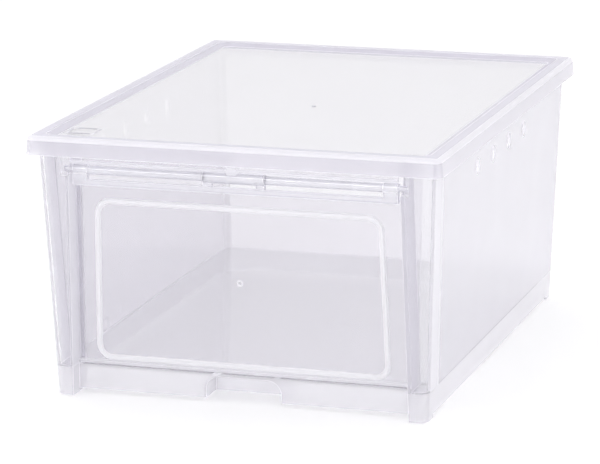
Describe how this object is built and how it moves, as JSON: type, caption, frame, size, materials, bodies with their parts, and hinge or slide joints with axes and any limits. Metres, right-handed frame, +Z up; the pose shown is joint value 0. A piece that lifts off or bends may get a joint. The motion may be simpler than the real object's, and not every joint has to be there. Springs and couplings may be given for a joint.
{
  "type": "shoe box",
  "caption": "Clear plastic shoe box: open-fronted tub with hollow front posts, lift-off lid and a front door that flips up on a hinge rod.",
  "frame": {"origin": "middle of the lid's outline, at the level the feet stand on", "axes": "front with the door faces -Y, +X to the right of someone facing the door, +Z up"},
  "size_m": [0.236, 0.322, 0.149],
  "materials": {
    "clear_body": "clear, slightly hazy satin",
    "clear_lid": "clear, slightly hazy satin",
    "clear_door": "clear gloss"
  },
  "bodies": {
    "body": {"box_body": "clear_body"},
    "lid": {"lid": "clear_lid"},
    "door": {"door": "clear_door"}
  },
  "joints": [
    {"name": "door_hinge", "type": "hinge", "parent": "body", "child": "door", "pos_m": [0, -0.1515, 0.1302], "axis": [-1, 0, 0], "range_deg": [0, 92]},
    {"name": "lid_lift", "type": "slide", "parent": "body", "child": "lid", "axis": [0, 0, 1], "range_m": [0, 0.07]}
  ]
}
